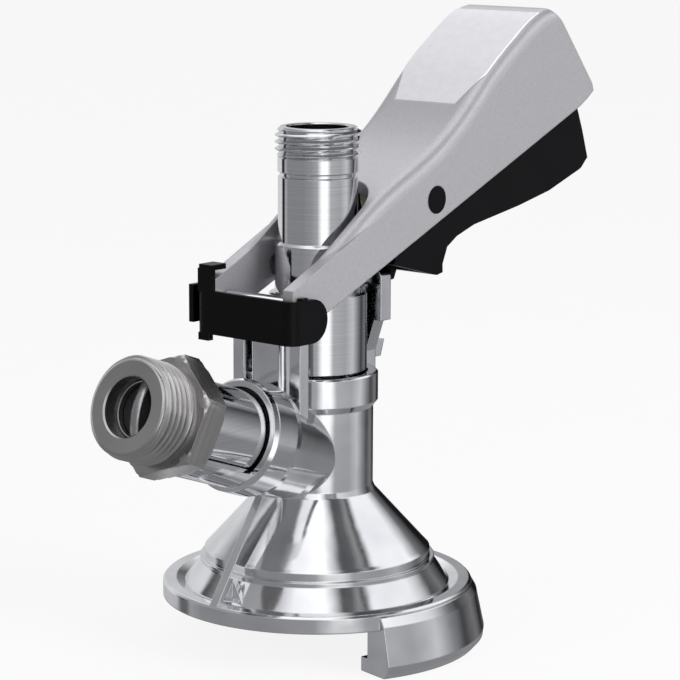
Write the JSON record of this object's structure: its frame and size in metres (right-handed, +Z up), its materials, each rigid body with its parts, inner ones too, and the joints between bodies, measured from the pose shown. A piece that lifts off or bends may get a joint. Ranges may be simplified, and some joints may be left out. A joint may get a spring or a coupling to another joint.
{
  "type": "keg coupler",
  "caption": "Slide-on keg coupler: forked hand lever drives a hollow probe down through a flared body with a hooked skirt, threaded gas inlet and beer outlet.",
  "frame": {"origin": "centre of the flange underside on the probe axis, where the coupler seats on the keg neck", "axes": "+Z up the probe axis, +X to the hand lever, -X to the gas inlet"},
  "size_m": [0.1804, 0.0904, 0.1663],
  "materials": {
    "body_steel": "polished stainless casting",
    "probe_steel": "polished stainless tube",
    "nipple_steel": "turned stainless, satin",
    "cage_steel": "stamped stainless",
    "pin_steel": "ground stainless",
    "spring_steel": "drawn spring wire",
    "seal_rubber": "moulded food grade rubber",
    "ball_plastic": "moulded white plastic",
    "bush_plastic": "turned acetal",
    "lever_alloy": "satin silver lacquer on die-cast alloy",
    "label_plastic": "smooth pale plate",
    "black_nylon": "moulded black nylon",
    "black_pin": "blackened pin"
  },
  "bodies": {
    "coupler": {"coupler_body": "body_steel", "hook_shoe": "body_steel", "keg_seal": "seal_rubber", "guide_bush": "bush_plastic", "shaft_ring": "seal_rubber", "gas_nipple": "nipple_steel", "nipple_washer": "seal_rubber", "gas_valve_cage": "cage_steel", "gas_valve_spring": "spring_steel", "pivot_pin": "pin_steel", "strap_clip": "black_nylon"},
    "probe": {"probe_tube": "probe_steel", "nose_seat": "bush_plastic", "probe_seal": "seal_rubber", "ball_stop_pin": "pin_steel", "drive_studs": "pin_steel", "outlet_washer": "seal_rubber"},
    "ball": {"check_ball": "ball_plastic"},
    "gas_valve": {"gas_valve_disc": "seal_rubber"},
    "lever": {"lever_yoke": "lever_alloy", "label_plate": "label_plastic", "trigger_pin": "black_pin", "spring_hub": "bush_plastic", "trigger_spring": "spring_steel"},
    "trigger": {"trigger_grip": "black_nylon"}
  },
  "joints": [
    {"name": "lever_pivot", "type": "hinge", "parent": "coupler", "child": "lever", "pos_m": [-0.0216, 0, 0.079], "axis": [0, 1, 0], "range_deg": [0, 30]},
    {"name": "probe_slide", "type": "slide", "parent": "coupler", "child": "probe", "axis": [0, 0, -1], "range_m": [0, 0.01224]},
    {"name": "ball_lift", "type": "slide", "parent": "probe", "child": "ball", "axis": [0, 0, 1], "range_m": [0, 0.003]},
    {"name": "gas_valve_slide", "type": "slide", "parent": "coupler", "child": "gas_valve", "axis": [0.9444, 0, -0.3289], "range_m": [0, 0.0015], "stiffness_N_per_m": 400, "springref_m": -0.0005, "deforming": ["gas_valve_spring"]},
    {"name": "trigger_hinge", "type": "hinge", "parent": "lever", "child": "trigger", "pos_m": [0.03, 0, 0.1053], "axis": [0, -1, 0], "range_deg": [-6, 6], "stiffness_Nm_per_rad": 1.2}
  ],
  "couplings": [
    {"joint": "probe_slide", "follows": "lever_pivot", "m_per_rad": 0.023375}
  ]
}
